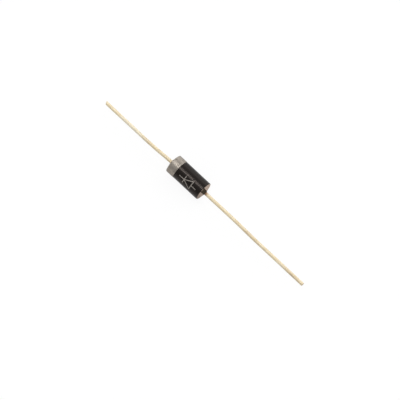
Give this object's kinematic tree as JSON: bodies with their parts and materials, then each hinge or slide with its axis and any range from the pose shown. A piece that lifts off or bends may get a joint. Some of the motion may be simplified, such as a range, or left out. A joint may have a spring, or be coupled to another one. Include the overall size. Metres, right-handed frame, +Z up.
{
  "type": "axial rectifier diode",
  "caption": "Small rectifier diode: black moulded barrel with a silver cathode band and a straight tinned wire lead out of each coned end.",
  "frame": {"origin": "midway between the two lead tips, on the surface that the diode lies on", "axes": "+X along the leads from the cathode (banded) end to the anode end, +Z up"},
  "size_m": [0.0298, 0.0022, 0.0023],
  "materials": {
    "moulded_epoxy": "black, slightly glossy, paler on the end faces",
    "silver_ink": "silver-grey printed ink, satin",
    "tinned_wire": "drawn and tinned, pale gold, satin",
    "solder": "dull grey",
    "silicon": "dark grey, etched",
    "silicone_rubber": "translucent white"
  },
  "bodies": {
    "root": {"epoxy_body": "moulded_epoxy", "cathode_band": "silver_ink", "cathode_lead": "tinned_wire", "anode_lead": "tinned_wire", "cathode_solder": "solder", "anode_solder": "solder", "silicon_die": "silicon", "junction_coating": "silicone_rubber"}
  },
  "joints": []
}
